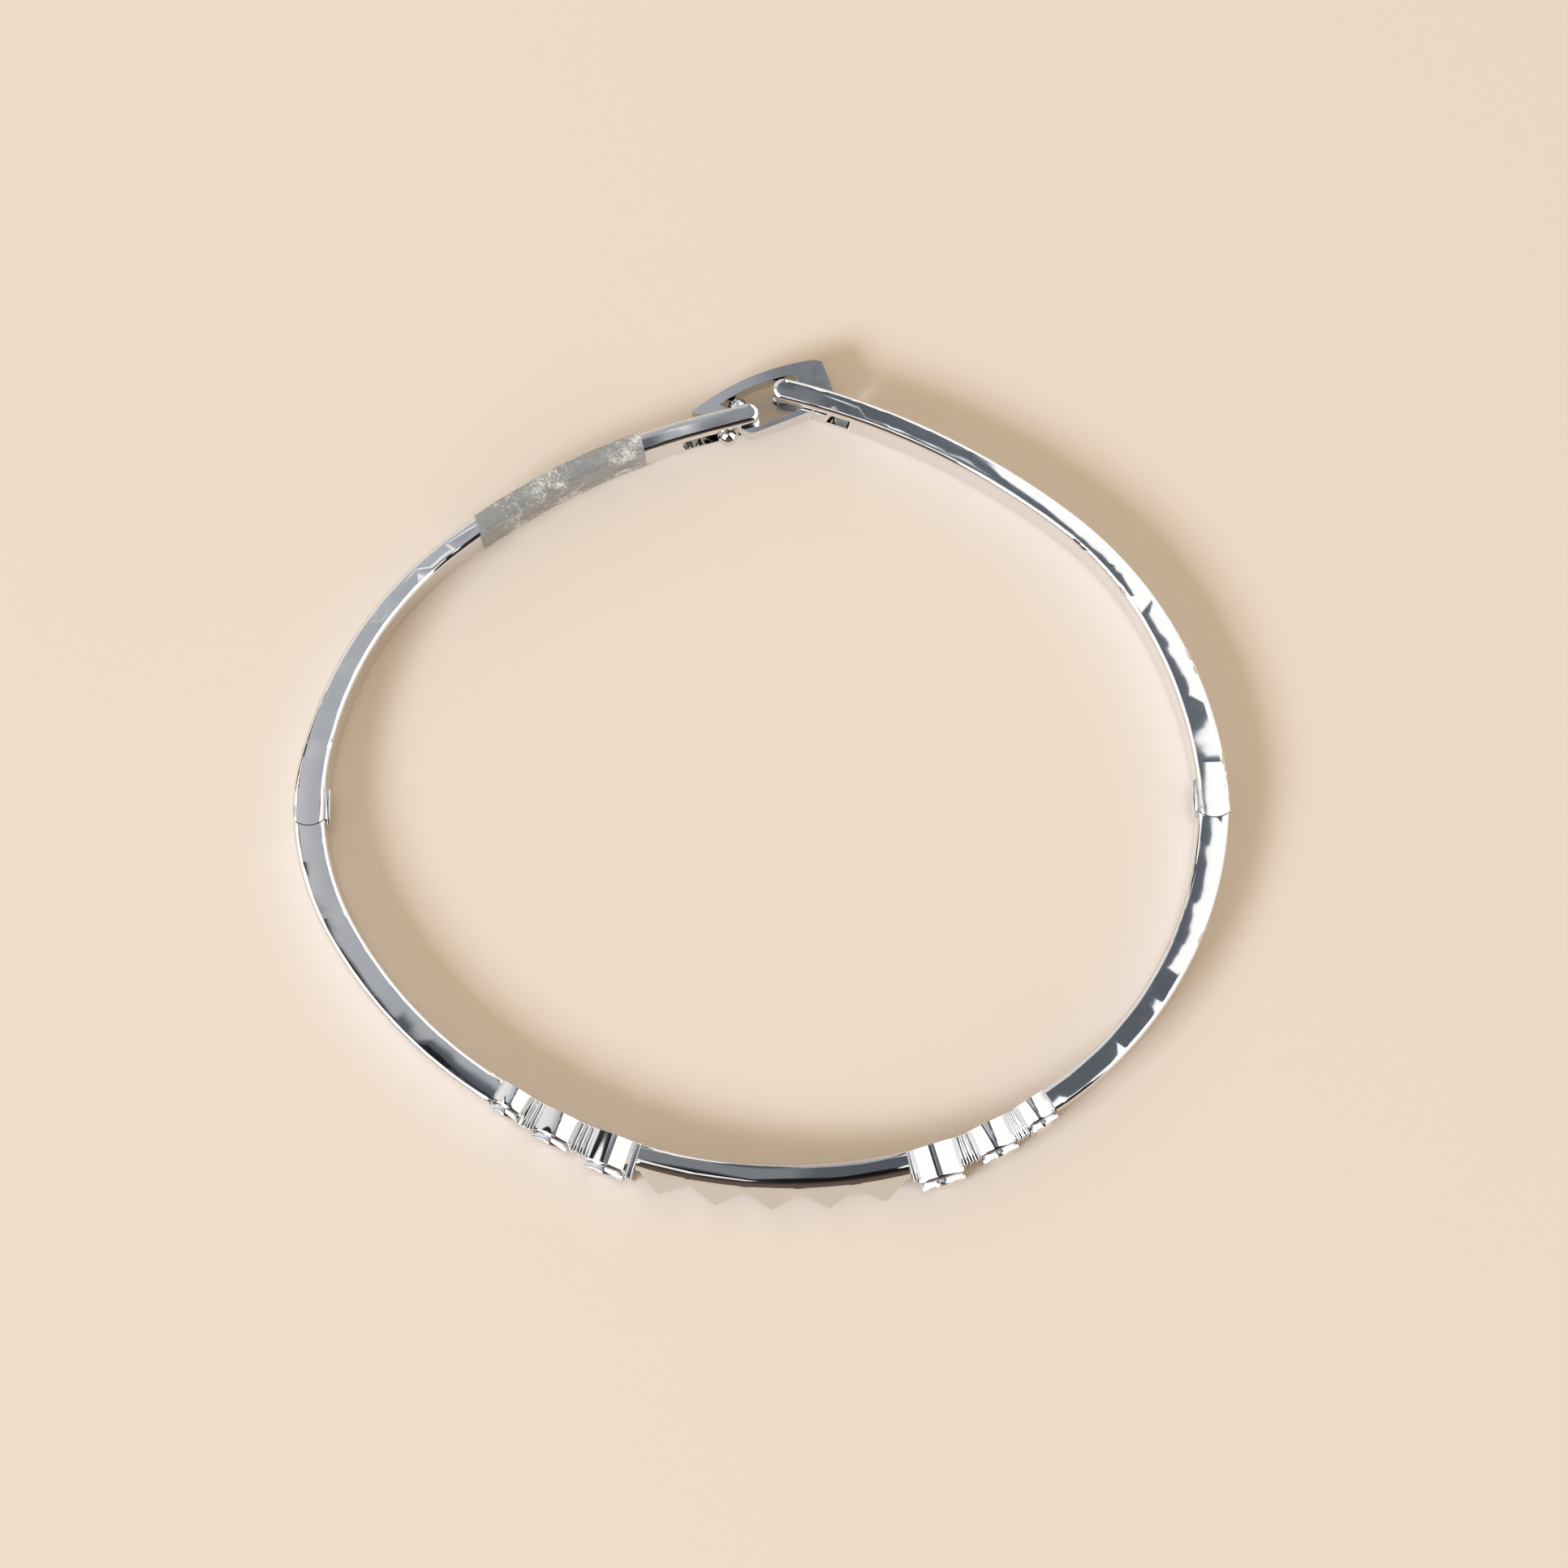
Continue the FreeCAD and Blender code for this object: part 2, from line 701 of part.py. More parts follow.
def make_rear_arm(side):
    way = SIDES[side]
    name = side + "_rear_arm"
    heading = tip_heading(side)
    inner, inner_end = arm_edge(side, -1)
    outer, outer_end = arm_edge(side, 1)
    nose = (inner_end + outer_end) * 0.5
    pin = hinge(side)
    drop = knuckle_drop(size("knuckle_radius"))
    knuckle = Arc(pin, arm_foot(side, 1, drop), arm_foot(side, -1, drop), -way)
    outline = [line(arm_foot(side, -1, drop), arm_foot(side, -1))] + curves(inner)
    outline += [line(inner[-1].end, inner_end), curve(Arc(nose, inner_end, outer_end, -way))]
    outline += [line(outer_end, outer[-1].end)] + curves(outer)
    outline += [line(arm_foot(side, 1), arm_foot(side, 1, drop)), curve(knuckle)]
    body = new_body(name)
    bar = extrude(body, name + "_bar", outline, "sizes.band_height")
    knuckle_foot = pin - toward(arm_heading(side)) * size("knuckle_radius")
    round_edges(body, name + "_rounding", bar, "sizes.edge_round", away_from([knuckle_foot], 0.1))
    cut(
        body, name + "_fork", ring(pin, size("tongue_radius") + size("tongue_room")),
        "sizes.tongue_height + 2 * sizes.tongue_play",
        "(sizes.band_height + sizes.tongue_height) / 2 + sizes.tongue_play",
    )
    half = size("knuckle_radius") + size("tongue_room")
    cut(
        body, name + "_fork_mouth",
        lines(
            pin + flat(-half, -half), pin + flat(half, -half), pin + flat(half, 0),
            pin + flat(-half, 0), pin + flat(-half, -half),
        ),
        "sizes.tongue_height + 2 * sizes.tongue_play",
        "(sizes.band_height + sizes.tongue_height) / 2 + sizes.tongue_play",
    )
    cut(body, name + "_bore", ring(pin, size("pin_radius")), "sizes.pin_length", "sizes.pin_length")
    closed = tip(side) - toward(heading) * size(side + "_slot_length")
    past = tip(side) + toward(heading)
    across = left_of(heading) * (size(side + "_tip_width") * 1.5)
    cut(
        body, name + "_slot",
        lines(closed - across, past - across, past + across, closed + across, closed - across),
        "sizes.slot_height", "(sizes.band_height + sizes.slot_height) / 2",
    )
    if side == "right":
        cut(
            body, name + "_pivot_bore", ring(pivot, size("pivot_pin_radius")),
            "sizes.pivot_pin_length", "sizes.pivot_pin_length",
        )
    return body


right_heading = tip_heading("right")
pivot = tip("right") - toward(right_heading) * size("pivot_from_tip")
arms = {side: make_rear_arm(side) for side in SIDES}


# Pins, pressed into the arms from below


def make_pin(name, spot, radius, length):
    pin = doc.addObject("Part::Cylinder", name)
    pin.Label = name
    pin.setExpression("Radius", radius)
    pin.setExpression("Height", length)
    pin.Placement = FreeCAD.Placement(spot, FreeCAD.Rotation())
    nodes.append(pin)


for side in SIDES:
    make_pin(side + "_hinge_pin", hinge(side), "sizes.pin_radius", "sizes.pin_length")
make_pin("clasp_pivot_pin", pivot, "sizes.pivot_pin_radius", "sizes.pivot_pin_length")


# Stop plates: soldered inside each arm, they reach past the seam and keep the arm from folding inwards


def make_stop_plate(side):
    way = SIDES[side]
    pin = hinge(side)
    half = size("hinge_width") / 2
    proud = half + size("stop_thickness")
    clear = half + size("stop_relief")
    rise = size("stop_rise")
    drop = size("stop_drop")
    step = knuckle_drop(size("knuckle_radius")) - size("seam_gap")
    corners = [
        (half, rise), (proud, rise - size("stop_thickness")), (proud, -drop),
        (clear, -drop), (clear, -step), (half, -step), (half, rise),
    ]
    lean = math.tan(math.radians(size(side + "_arm_lean")))
    outline = lines(*[pin + flat(-way * (x + max(y, 0) * lean), y) for x, y in corners])
    body = new_body(side + "_stop_blank", kept=False)
    extrude(body, side + "_stop_pad", outline, "sizes.band_height - 2 * sizes.stop_inset", "sizes.stop_inset")
    fitted = doc.addObject("Part::Cut", side + "_stop_plate")
    fitted.Base = body
    fitted.Tool = arms[side]
    fitted.Label = side + "_stop_plate"
    nodes.append(fitted)


for side in SIDES:
    make_stop_plate(side)


# Clasp link: an arched stirrup on the right arm's pin; its slanted far bar lies in the left arm's slot

left_heading = tip_heading("left")
far_end = tip("left") - toward(left_heading) * size("link_back") + left_of(left_heading) * size("link_out")
link_axis = bearing(far_end - pivot)
link_reach = (far_end - pivot).Length


def on_link(along, out):
    """A point in the link's own directions: along from the pin to the far end, and out from the wrist."""
    return pivot + toward(link_axis) * along - left_of(link_axis) * out


def through(start, middle, end):
    return Part.Arc(start, middle, end)


far_tip = on_link(link_reach, 0)
corner = on_link(link_reach - size("corner_back"), -size("corner_in"))
corner_end = corner + (far_tip - corner) * size("corner_share") + toward(link_axis + 90) * size("corner_lift")
bar_normal = left_of(bearing(corner_end - far_tip))


def make_link():
    name = "clasp_link"
    body = new_body(name + "_blank", kept=False)
    crest = on_link(link_reach - size("crest_back"), size("crest_out"))
    heel = on_link(size("heel_along"), size("heel_out"))
    back = on_link(size("heel_along") - size("heel_chamfer"), size("heel_out") - size("heel_chamfer") / 4)
    eye_top, eye_back, eye_foot = [
        pivot + toward(link_axis + size(spot)) * size("eye_radius") for spot in ("eye_top", "eye_back", "eye_foot")
    ]
    corner_mid = (corner + corner_end) * 0.5 + toward(link_axis + 90) * size("corner_bulge")
    outline = [through(far_tip, crest, heel), line(heel, back), line(back, eye_top)]
    outline += [through(eye_top, eye_back, eye_foot), line(eye_foot, corner)]
    outline += [through(corner, corner_mid, corner_end), line(corner_end, far_tip)]
    thick = "sizes.link_thickness"
    top = "(sizes.band_height + sizes.link_thickness) / 2"
    extrude(body, name + "_plate", outline, thick, "(sizes.band_height - sizes.link_thickness) / 2")
    cut(body, name + "_window", window_outline(), thick, top)
    cut(body, name + "_bore", ring(pivot, size("pivot_pin_radius") + size("pin_play")), thick, top)
    return body


def window_outline():
    """The opening between the arched rail, the plate by the pin, the thin rail and the slanted bar."""
    top_near = on_link(size("window_near"), size("heel_out") - size("rail_width"))
    foot_near = on_link(size("window_near") - size("window_slant"), -size("window_foot"))
    crest = on_link(link_reach - size("window_crest_back"), size("window_crest_out"))
    far = on_link(link_reach - size("window_far"), size("window_far_out"))
    foot = corner + toward(link_axis - 90) * size("blade_width")
    return [through(far, crest, top_near)] + lines(top_near, foot_near, foot, far)


def make_stud():
    """Two balls on a short shank through the link's slanted bar."""
    middle = on_link(link_reach - size("stud_back"), -size("stud_in")) + UP * (height / 2)
    balls = []
    for number, way in enumerate((-1, 1)):
        ball = doc.addObject("Part::Sphere", "stud_ball_%d" % number)
        ball.setExpression("Radius", "sizes.ball_radius")
        centre = middle + bar_normal * (way * size("ball_spacing") / 2)
        ball.Placement = FreeCAD.Placement(centre, FreeCAD.Rotation())
        balls.append(ball)
    shank = doc.addObject("Part::Cylinder", "stud_shank")
    shank.setExpression("Radius", "sizes.shank_radius")
    shank.setExpression("Height", "sizes.ball_spacing")
    start = middle - bar_normal * (size("ball_spacing") / 2)
    shank.Placement = FreeCAD.Placement(start, FreeCAD.Rotation(UP, bar_normal))
    fused = doc.addObject("Part::MultiFuse", "catch_ball_stud")
    fused.Shapes = balls + [shank]
    fused.Label = "catch_ball_stud"
    nodes.append(fused)
    return fused


link = doc.addObject("Part::Cut", "clasp_link")
link.Base = make_link()
link.Tool = make_stud()
link.Label = "clasp_link"
nodes.append(link)


# Protective film, left on the left arm: a thin saddle over the top and both sides


def film_outline(apart, begin, finish):
    inner = arm_edge("left", -1)[0]
    outer = arm_edge("left", 1)[0]
    inner_length = sum(arc_length(arc) for arc in inner)
    outer_length = sum(arc_length(arc) for arc in outer)
    inner_part = beside(piece_of(inner, inner_length - finish, inner_length - begin), -apart)
    outer_part = beside(piece_of(outer, outer_length - finish, outer_length - begin), apart)
    outline = curves(inner_part) + [line(inner_part[-1].end, outer_part[-1].end)] + curves(outer_part)
    return outline + [line(outer_part[0].start, inner_part[0].start)]


def make_film():
    name = "protective_film_wrap"
    begin = size("film_from") - size("left_tip_straight")
    finish = begin + size("film_length")
    body = new_body(name)
    apart = size("film_gap") + size("film_thickness")
    extrude(
        body, name + "_skin", film_outline(apart, begin, finish),
        "sizes.band_height + sizes.film_gap + sizes.film_thickness - sizes.film_clear", "sizes.film_clear",
    )
    cut(
        body, name + "_hollow", film_outline(size("film_gap"), begin - 0.5, finish + 0.5),
        "sizes.band_height + sizes.film_gap", "sizes.band_height + sizes.film_gap",
    )


make_film()


# Check every feature, then write one file for each piece

doc.recompute()
for item in doc.Objects:
    if "Invalid" in item.State or "Error" in item.State:
        raise RuntimeError("%s failed: %s" % (item.Name, item.State))
os.makedirs("parts", exist_ok=True)
for node in nodes:
    shape = node.Shape
    if shape.isNull() or not shape.isValid() or len(shape.Solids) < 1:
        raise RuntimeError(node.Label + " has no valid solid")
for node in nodes:
    node.Shape.exportStep("parts/%s.step" % node.Label)

whole = FreeCAD.BoundBox()
for node in nodes:
    whole.add(node.Shape.BoundBox)
    box = node.Shape.BoundBox
    print("%-22s %d %.2f" % (node.Label, len(node.Shape.Solids), node.Shape.Volume), [
        round(v, 2) for v in (box.XMin, box.XMax, box.YMin, box.YMax, box.ZMin, box.ZMax)
    ])
print("box x %.2f %.2f y %.2f %.2f z %.2f %.2f" % (
    whole.XMin, whole.XMax, whole.YMin, whole.YMax, whole.ZMin, whole.ZMax,
))
print("clasp pin at %.4f %.4f" % (pivot.x, pivot.y))
print("link axis %.2f reach %.2f" % (link_axis, link_reach))
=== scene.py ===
import bpy
import json
import math
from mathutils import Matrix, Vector
from mathutils.bvhtree import BVHTree

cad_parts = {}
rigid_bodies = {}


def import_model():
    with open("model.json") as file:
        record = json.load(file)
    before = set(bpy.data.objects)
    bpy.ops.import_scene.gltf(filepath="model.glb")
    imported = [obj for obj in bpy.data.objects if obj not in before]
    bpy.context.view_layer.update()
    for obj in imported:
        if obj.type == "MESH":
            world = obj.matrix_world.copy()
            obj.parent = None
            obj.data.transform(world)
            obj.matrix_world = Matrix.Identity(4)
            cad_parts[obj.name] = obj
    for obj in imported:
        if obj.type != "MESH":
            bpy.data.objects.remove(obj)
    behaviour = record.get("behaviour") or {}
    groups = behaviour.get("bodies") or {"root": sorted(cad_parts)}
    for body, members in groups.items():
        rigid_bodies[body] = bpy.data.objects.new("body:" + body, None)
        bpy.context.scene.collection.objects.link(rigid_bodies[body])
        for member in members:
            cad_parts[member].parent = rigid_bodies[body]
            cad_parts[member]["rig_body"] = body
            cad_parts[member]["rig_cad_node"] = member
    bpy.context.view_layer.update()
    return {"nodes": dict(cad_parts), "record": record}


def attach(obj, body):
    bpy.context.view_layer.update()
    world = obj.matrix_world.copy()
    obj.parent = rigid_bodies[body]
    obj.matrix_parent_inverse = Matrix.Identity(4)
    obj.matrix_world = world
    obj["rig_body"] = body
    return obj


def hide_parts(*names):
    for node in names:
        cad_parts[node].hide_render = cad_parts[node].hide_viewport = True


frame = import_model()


# Table: a sheet of cream paper that runs out of sight under the bangle.
# Its warm colour fills the bangle's upright walls and the facets of the pyramids.
def make_table():
    bpy.ops.object.select_all(action="DESELECT")
    bpy.ops.mesh.primitive_plane_add(size=6.0, location=(0, 0, -0.00002))
    table = bpy.context.object
    table.name = "table_sheet"
    bpy.ops.object.transform_apply(location=True, rotation=True, scale=True)
    paper = bpy.data.materials.new("cream_paper")
    paper.use_nodes = True
    shader = paper.node_tree.nodes["Principled BSDF"]
    shader.inputs["Base Color"].default_value = (0.89, 0.785, 0.72, 1)
    shader.inputs["Roughness"].default_value = 0.85
    shader.inputs["Specular IOR Level"].default_value = 0.1
    table.data.materials.append(paper)


make_table()


# Camera: the photograph's own view, nearly straight down and a little from the front.
# Its place was worked out from the bangle's outline and the height of its band.
def make_camera():
    view_centre = Vector((0.0016, -0.0006, 0.0036))
    view_distance = 0.304
    view_tilt = math.radians(10)
    data = bpy.data.cameras.new("camera")
    camera = bpy.data.objects.new("camera", data)
    bpy.context.scene.collection.objects.link(camera)
    camera.location = view_centre + Vector((0, -math.sin(view_tilt), math.cos(view_tilt))) * view_distance
    camera.rotation_euler = (view_tilt, 0, 0)
    data.sensor_fit = "HORIZONTAL"
    data.angle = 2 * math.atan(1932 / 2 / 5624)
    data.clip_start = 0.01
    data.clip_end = 20
    bpy.context.scene.camera = camera
    bpy.context.scene.view_settings.view_transform = "Standard"


make_camera()


# Key light: one soft box, low at the front left.
# It throws the bangle's long soft shadow to the back and to the right.
def make_key():
    place = Vector((-1.38, -1.08, 1.27))
    data = bpy.data.lights.new("key_box", "AREA")
    data.shape = "RECTANGLE"
    data.size = 0.95
    data.size_y = 0.75
    data.energy = 35
    data.color = (0.76, 0.87, 1.0)
    key = bpy.data.objects.new("key_box", data)
    bpy.context.scene.collection.objects.link(key)
    key.location = place
    key.rotation_euler = (-place).to_track_quat("-Z", "Y").to_euler()


make_key()


# Studio: what polished metal sees overhead. White cards stand on the right and at the front left,
# the ceiling is grey, and the dark gaps between them draw the black lines along each edge.
def make_studio():
    world = bpy.data.worlds.new("studio")
    bpy.context.scene.world = world
    world.use_nodes = True
    tree = world.node_tree
    link = tree.links.new
    background = tree.nodes["Background"]
    direction = tree.nodes.new("ShaderNodeTexCoord").outputs["Generated"]
    split = tree.nodes.new("ShaderNodeSeparateXYZ")
    link(direction, split.inputs["Vector"])
    across, back, up = split.outputs["X"], split.outputs["Y"], split.outputs["Z"]

    def number(operation, *values):
        node = tree.nodes.new("ShaderNodeMath")
        node.operation = operation
        for socket, value in zip(node.inputs, values):
            if isinstance(value, (int, float)):
                socket.default_value = value
            else:
                link(value, socket)
        return node.outputs["Value"]

    def rising(value, low, high, kind="SMOOTHSTEP"):
        node = tree.nodes.new("ShaderNodeMapRange")
        node.interpolation_type = kind
        node.inputs["From Min"].default_value = low
        node.inputs["From Max"].default_value = high
        link(value, node.inputs["Value"])
        return node.outputs["Result"]

    def blend(share, first, second):
        node = tree.nodes.new("ShaderNodeMix")
        node.data_type = "RGBA"
        link(share, node.inputs["Factor"])
        for socket, value in ((node.inputs["A"], first), (node.inputs["B"], second)):
            if isinstance(value, tuple):
                socket.default_value = (*value, 1)
            else:
                link(value, socket)
        return node.outputs["Result"]

    # ceiling from left to right: light wall, grey ceiling, dark gap; darker towards the front
    ramp = tree.nodes.new("ShaderNodeValToRGB")
    link(rising(across, -1.0, 1.0, "LINEAR"), ramp.inputs["Fac"])
    stops = [
        (0.02, (0.80, 0.70, 0.58)), (0.12, (1.00, 0.97, 0.92)), (0.30, (0.85, 0.86, 0.87)),
        (0.42, (0.60, 0.61, 0.64)), (0.46, (0.50, 0.52, 0.55)), (0.492, (0.46, 0.48, 0.51)),
        (0.4975, (0.31, 0.325, 0.35)), (0.503, (0.11, 0.12, 0.14)), (0.53, (0.13, 0.15, 0.18)),
    ]
    elements = ramp.color_ramp.elements
    while len(elements) < len(stops):
        elements.new(0.5)
    for element, (place, colour) in zip(elements, stops):
        element.position = place
        element.color = (*colour, 1)
    shade = number("MULTIPLY", rising(back, 0.145, 0.105), rising(across, 0.01, 0.0))
    low_ceiling = blend(rising(across, -0.04, -0.10), (0.27, 0.285, 0.31), (0.10, 0.11, 0.13))
    ceiling = blend(shade, ramp.outputs["Color"], low_ceiling)

    # white card on the right, with a wavy edge turned along the bangle's right arm
    edge_noise = tree.nodes.new("ShaderNodeTexNoise")
    edge_noise.inputs["Scale"].default_value = 14.0
    edge_noise.inputs["Detail"].default_value = 2.0
    link(direction, edge_noise.inputs["Vector"])
    wavy = number("MULTIPLY", number("SUBTRACT", edge_noise.outputs["Fac"], 0.5), 0.05)
    bulge = number("MULTIPLY", rising(back, 0.150, 0.195), 0.045)
    tail = number("MULTIPLY", rising(back, 0.215, 0.245), -0.025)
    card_edge = number("ADD", number("ADD", 0.076, wavy), number("ADD", bulge, tail))
    card = rising(number("SUBTRACT", across, card_edge), -0.003, 0.003)
    with_card = blend(card, ceiling, (1.25, 1.25, 1.25))

    # two lamps in the ceiling, which show near the arms' tips
    for middle, wide, deep in (((0.030, 0.262), 0.014, 0.016), ((-0.034, 0.215), 0.010, 0.022)):
        off_side = number("DIVIDE", number("SUBTRACT", across, middle[0]), wide)
        off_back = number("DIVIDE", number("SUBTRACT", back, middle[1]), deep)
        spread = number("ADD", number("MULTIPLY", off_side, off_side), number("MULTIPLY", off_back, off_back))
        with_card = blend(rising(spread, 1.15, 0.85), with_card, (1.2, 1.2, 1.2))

    # dark room at the front
    forward = number("MULTIPLY", back, -1.0)
    widening = number("ADD", 0.10, number("MULTIPLY", forward, 1.0))
    inside_right = rising(number("SUBTRACT", widening, across), -0.01, 0.02)
    narrowing = number("ADD", 0.14, number("MULTIPLY", forward, 0.55))
    inside_left = rising(number("ADD", narrowing, across), -0.01, 0.03)
    depth = rising(forward, -0.02, 0.05)
    room = number("MULTIPLY", number("MULTIPLY", inside_right, inside_left), depth)
    brown = blend(rising(forward, 0.45, 0.9), (0.012, 0.010, 0.010), (0.16, 0.115, 0.09))
    with_room = blend(room, with_card, brown)

    # white card at the front left, framed by a dark edge
    aside = number("SUBTRACT", across, -0.70)
    ahead = number("SUBTRACT", back, -0.36)
    reach = number("SQRT", number("ADD", number("MULTIPLY", aside, aside), number("MULTIPLY", ahead, ahead)))
    with_frame = blend(rising(reach, 0.735, 0.725), with_room, (0.015, 0.015, 0.018))
    with_box = blend(rising(reach, 0.665, 0.655), with_frame, (1.25, 1.25, 1.25))
    with_box = blend(rising(back, -0.42, -0.52), with_box, with_room)

    # the table's own colour at the horizon
    seen_by_metal = blend(rising(up, 0.10, 0.0), with_box, (0.82, 0.70, 0.57))

    rays = tree.nodes.new("ShaderNodeLightPath")
    soft_light = blend(rays.outputs["Is Camera Ray"], (0.64, 0.535, 0.37), (0.83, 0.70, 0.57))
    polished = number("MAXIMUM", rays.outputs["Is Glossy Ray"], rays.outputs["Is Transmission Ray"])
    link(blend(polished, soft_light, seen_by_metal), background.inputs["Color"])


make_studio()


# Polished metal: white metal, buffed by hand, so its flat faces are never quite true.
# A fine buffing grain sets the gloss, and long shallow waves bend what the faces reflect.
def polished_metal(name, colour, roughness, wave):
    material = bpy.data.materials.new(name)
    material.use_nodes = True
    tree = material.node_tree
    shader = tree.nodes["Principled BSDF"]
    shader.inputs["Base Color"].default_value = (*colour, 1)
    shader.inputs["Metallic"].default_value = 1.0
    place = tree.nodes.new("ShaderNodeTexCoord")
    buffing = tree.nodes.new("ShaderNodeTexNoise")
    buffing.inputs["Scale"].default_value = 900.0
    buffing.inputs["Detail"].default_value = 4.0
    tree.links.new(place.outputs["Object"], buffing.inputs["Vector"])
    spread = tree.nodes.new("ShaderNodeMapRange")
    spread.inputs["To Min"].default_value = roughness * 0.6
    spread.inputs["To Max"].default_value = roughness * 1.5
    tree.links.new(buffing.outputs["Fac"], spread.inputs["Value"])
    tree.links.new(spread.outputs["Result"], shader.inputs["Roughness"])
    waves = tree.nodes.new("ShaderNodeTexNoise")
    waves.inputs["Scale"].default_value = 170.0
    waves.inputs["Detail"].default_value = 1.0
    tree.links.new(place.outputs["Object"], waves.inputs["Vector"])
    bump = tree.nodes.new("ShaderNodeBump")
    bump.inputs["Strength"].default_value = 1.0
    bump.inputs["Distance"].default_value = wave
    tree.links.new(waves.outputs["Fac"], bump.inputs["Height"])
    tree.links.new(bump.outputs["Normal"], shader.inputs["Normal"])
    return material


band_metal = polished_metal("polished_band", (0.80, 0.795, 0.79), 0.05, 0.00006)


def buff_top(mesh, crown, lean):
    """Tilts the shading of a flat top a little outwards on each side, as buffing rounds it."""
    top = max(vertex.co.z for vertex in mesh.vertices)
    tilted = {}
    for polygon in mesh.polygons:
        if polygon.normal.z > 0.999 and polygon.center.z > top - 0.00001:
            middle = polygon.center
            outwards = Vector((middle.x, middle.y, 0)).normalized()
            offsets = {v: (mesh.vertices[v].co - middle).dot(outwards) for v in polygon.vertices}
            half = max(abs(offset) for offset in offsets.values())
            for v, offset in offsets.items():
                tilted[v] = (outwards * (lean + crown * offset / half) + Vector((0, 0, 1))).normalized()
    normals = [corner.vector.copy() for corner in mesh.corner_normals]
    for loop in mesh.loops:
        if loop.vertex_index in tilted and normals[loop.index].z > 0.8:
            normals[loop.index] = tilted[loop.vertex_index]
    mesh.normals_split_custom_set(normals)


def finished_copy(node, body, material, ease, crown=0.0, lean=0.0):
    """A copy of the solid with its flat faces joined, its edges eased, and its top crowned if asked."""
    merge_distance = 0.0000005
    flat_angle = math.radians(0.6)
    sharp_angle = math.radians(40)
    smooth_angle = math.radians(35)
    slice_angle = math.radians(1.5)
    slices_each_side = 45
    source = frame["nodes"][node]
    bpy.ops.object.select_all(action="DESELECT")
    piece = source.copy()
    piece.data = source.data.copy()
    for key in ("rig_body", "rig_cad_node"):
        if key in piece:
            del piece[key]
    piece.parent = None
    piece.name = node + "_polished"
    bpy.context.scene.collection.objects.link(piece)
    bpy.context.view_layer.objects.active = piece
    piece.select_set(True)
    bpy.ops.object.mode_set(mode="EDIT")
    bpy.ops.mesh.select_all(action="SELECT")
    bpy.ops.mesh.remove_doubles(threshold=merge_distance)
    bpy.ops.mesh.dissolve_limited(angle_limit=flat_angle)
    bpy.ops.object.mode_set(mode="OBJECT")
    if crown:
        middle = sum((vertex.co for vertex in piece.data.vertices), Vector()) / len(piece.data.vertices)
        start = math.atan2(middle.y, middle.x)
        bpy.ops.object.mode_set(mode="EDIT")
        for turn in range(-slices_each_side, slices_each_side + 1):
            heading = start + turn * slice_angle
            bpy.ops.mesh.select_all(action="SELECT")
            bpy.ops.mesh.bisect(plane_co=(0, 0, 0), plane_no=(-math.sin(heading), math.cos(heading), 0))
        bpy.ops.object.mode_set(mode="OBJECT")
    if ease:
        bevel = piece.modifiers.new("eased", "BEVEL")
        bevel.width = ease
        bevel.segments = 3
        bevel.limit_method = "ANGLE"
        bevel.angle_limit = sharp_angle
        bpy.ops.object.modifier_apply(modifier=bevel.name)
    bpy.ops.object.shade_smooth_by_angle(angle=smooth_angle)
    weighted = piece.modifiers.new("weighted", "WEIGHTED_NORMAL")
    weighted.keep_sharp = True
    bpy.ops.object.modifier_apply(modifier=weighted.name)
    if crown:
        buff_top(piece.data, crown, lean)
    piece.data.materials.clear()
    piece.data.materials.append(material)
    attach(piece, body)
    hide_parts(node)
    return piece


# Front: five pyramids on a curved bar, six domed stations and ribbed spacers between them.
# All are cast, soldered in one row and polished, so the front is stiff.
bar_metal = polished_metal("polished_bar", (0.70, 0.69, 0.68), 0.05, 0.00003)
for node in frame["record"]["behaviour"]["bodies"]["front"]:
    if node.endswith("_front_bar"):
        finished_copy(node, "front", band_metal, 0.00010, 0.035, 0.0)
    elif node == "centre_pyramid_bar":
        finished_copy(node, "front", bar_metal, 0.00005)
    else:
        finished_copy(node, "front", band_metal, 0.00005)


# Rear arms: bent from flat strip, with slotted tips and forked knuckles.
# The right one is twisted outwards by a degree or two. A small plate is soldered inside each knuckle.
for side, lean in (("left", 0.0), ("right", 0.022)):
    finished_copy(side + "_rear_arm", side + "_arm", band_metal, 0.00010, 0.035, lean)
    finished_copy(side + "_stop_plate", side + "_arm", band_metal, 0.00003)


# Pins: plain wire, pressed in from below and polished off flush.
pin_metal = polished_metal("polished_pins", (0.74, 0.735, 0.72), 0.09, 0.00002)
pin_bodies = {"left_hinge_pin": "left_arm", "right_hinge_pin": "right_arm", "clasp_pivot_pin": "right_arm"}
for node, body in pin_bodies.items():
    finished_copy(node, body, pin_metal, 0.00004)


# Clasp: a cast link that swings on the right arm's pin, with a ball stud through its far bar.
# Its broad sides are ground flat and its edges are only just broken.
clasp_metal = polished_metal("polished_clasp", (0.77, 0.77, 0.77), 0.06, 0.00003)
finished_copy("clasp_link", "clasp", clasp_metal, 0.00009)
finished_copy("catch_ball_stud", "clasp", clasp_metal, 0.0)


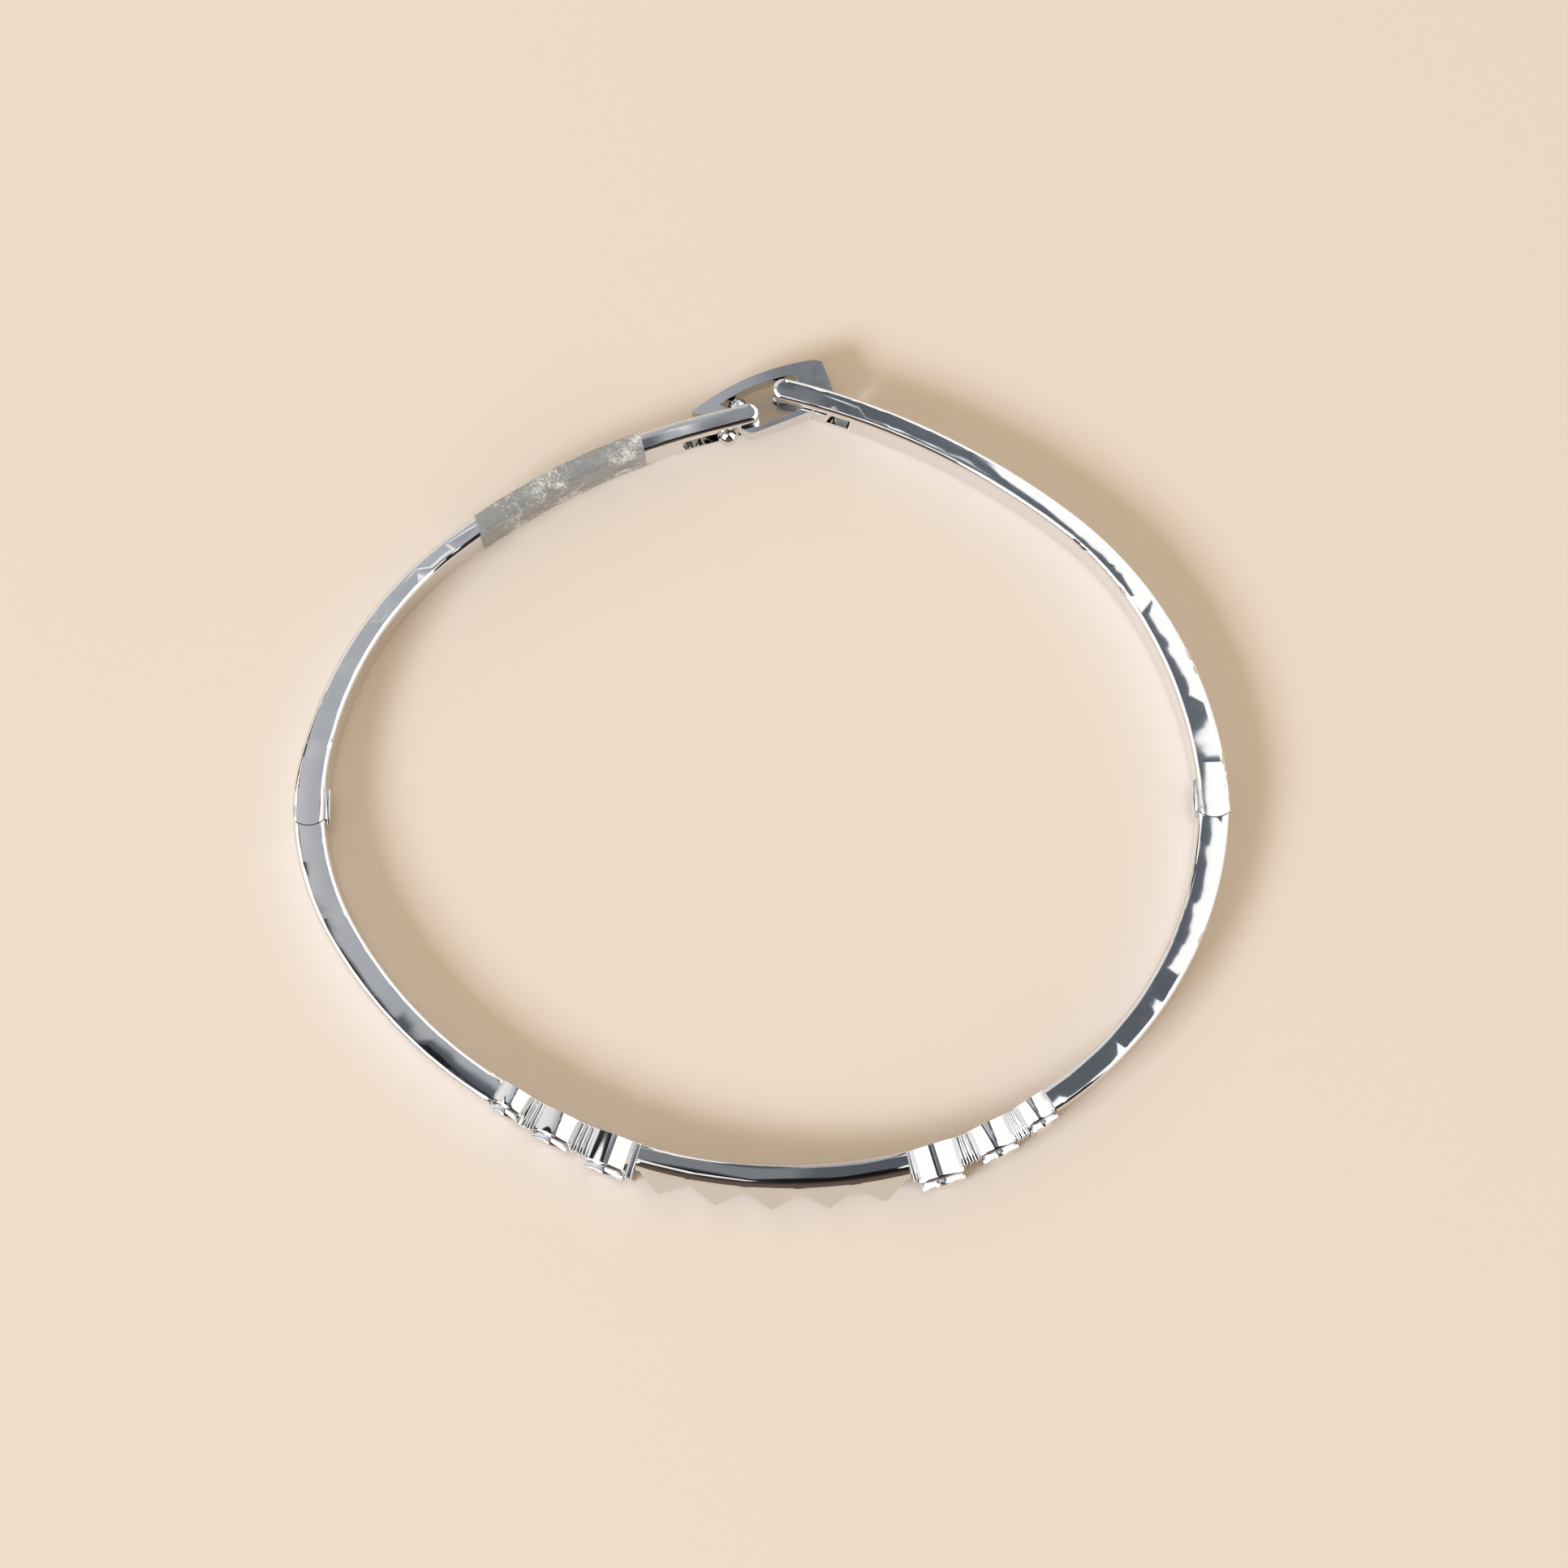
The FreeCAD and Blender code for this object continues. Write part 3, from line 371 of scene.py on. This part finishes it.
# Film: a scrap of clear protective film, shrunk tight round the left arm.
# It is crinkled all over. Its creases are painted lighter and more opaque: partly milky film, partly a
# painted highlight where they catch the light.
def film_material():
    material = bpy.data.materials.new("clear_film")
    material.use_nodes = True
    tree = material.node_tree
    shader = tree.nodes["Principled BSDF"]
    place = tree.nodes.new("ShaderNodeTexCoord")
    flecks = tree.nodes.new("ShaderNodeTexNoise")
    flecks.inputs["Scale"].default_value = 3200.0
    flecks.inputs["Detail"].default_value = 6.0
    flecks.inputs["Distortion"].default_value = 1.2
    tree.links.new(place.outputs["Object"], flecks.inputs["Vector"])
    patches = tree.nodes.new("ShaderNodeTexNoise")
    patches.inputs["Scale"].default_value = 330.0
    patches.inputs["Detail"].default_value = 2.0
    tree.links.new(place.outputs["Object"], patches.inputs["Vector"])
    both = tree.nodes.new("ShaderNodeMath")
    both.operation = "MULTIPLY_ADD"
    both.inputs[1].default_value = 0.55
    tree.links.new(flecks.outputs["Fac"], both.inputs[0])
    tree.links.new(patches.outputs["Fac"], both.inputs[2])
    # crease noise makes the film more opaque: partly milky film, partly painted highlight
    milky_and_highlight = tree.nodes.new("ShaderNodeMapRange")
    milky_and_highlight.inputs["From Min"].default_value = 0.80
    milky_and_highlight.inputs["From Max"].default_value = 0.96
    milky_and_highlight.inputs["To Min"].default_value = 0.42
    milky_and_highlight.inputs["To Max"].default_value = 0.93
    tree.links.new(both.outputs["Value"], milky_and_highlight.inputs["Value"])
    tree.links.new(milky_and_highlight.outputs["Result"], shader.inputs["Alpha"])
    # crease noise turns the film from grey to near white: partly its milky colour, partly painted highlight
    tint_and_highlight = tree.nodes.new("ShaderNodeValToRGB")
    tint_and_highlight.color_ramp.elements[0].position = 0.80
    tint_and_highlight.color_ramp.elements[0].color = (0.44, 0.455, 0.48, 1)
    tint_and_highlight.color_ramp.elements[1].position = 0.95
    tint_and_highlight.color_ramp.elements[1].color = (0.86, 0.87, 0.88, 1)
    tree.links.new(both.outputs["Value"], tint_and_highlight.inputs["Fac"])
    tree.links.new(tint_and_highlight.outputs["Color"], shader.inputs["Base Color"])
    shader.inputs["Roughness"].default_value = 0.28
    bump = tree.nodes.new("ShaderNodeBump")
    bump.inputs["Strength"].default_value = 0.8
    bump.inputs["Distance"].default_value = 0.00006
    tree.links.new(flecks.outputs["Fac"], bump.inputs["Height"])
    tree.links.new(bump.outputs["Normal"], shader.inputs["Normal"])
    return material


def make_film():
    voxel = 0.00006
    outer_side = 0.00004
    pull = 0.55
    source = frame["nodes"]["protective_film_wrap"]
    arm = frame["nodes"]["left_rear_arm"]
    bpy.ops.object.select_all(action="DESELECT")
    film = source.copy()
    film.data = source.data.copy()
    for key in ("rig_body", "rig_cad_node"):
        if key in film:
            del film[key]
    film.parent = None
    film.name = "crinkled_film"
    bpy.context.scene.collection.objects.link(film)
    bpy.context.view_layer.objects.active = film
    film.select_set(True)
    film.data.remesh_voxel_size = voxel
    film.data.remesh_voxel_adaptivity = 0.0
    bpy.ops.object.voxel_remesh()
    arm_places = [vertex.co for vertex in arm.data.vertices]
    arm_surface = BVHTree.FromPolygons(arm_places, [polygon.vertices for polygon in arm.data.polygons])
    outside = film.vertex_groups.new(name="outside")
    pulled_in = []
    for vertex in film.data.vertices:
        spot = arm_surface.find_nearest(vertex.co)[0]
        if vertex.normal.dot(vertex.co - spot) > outer_side:
            outside.add([vertex.index], 1.0, "REPLACE")
            pulled_in.append((vertex, spot + (vertex.co - spot) * pull))
    for vertex, place in pulled_in:
        vertex.co = place
    folds = bpy.data.textures.new("film_folds", "CLOUDS")
    folds.noise_scale = 0.0011
    folds.noise_depth = 2
    wrinkle = film.modifiers.new("crinkles", "DISPLACE")
    wrinkle.texture = folds
    wrinkle.texture_coords = "LOCAL"
    wrinkle.strength = 0.00022
    wrinkle.mid_level = 0.45
    wrinkle.vertex_group = "outside"
    bpy.ops.object.modifier_apply(modifier=wrinkle.name)
    bpy.ops.object.shade_smooth()
    film.data.materials.clear()
    film.data.materials.append(film_material())
    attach(film, "left_arm")
    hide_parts("protective_film_wrap")


make_film()
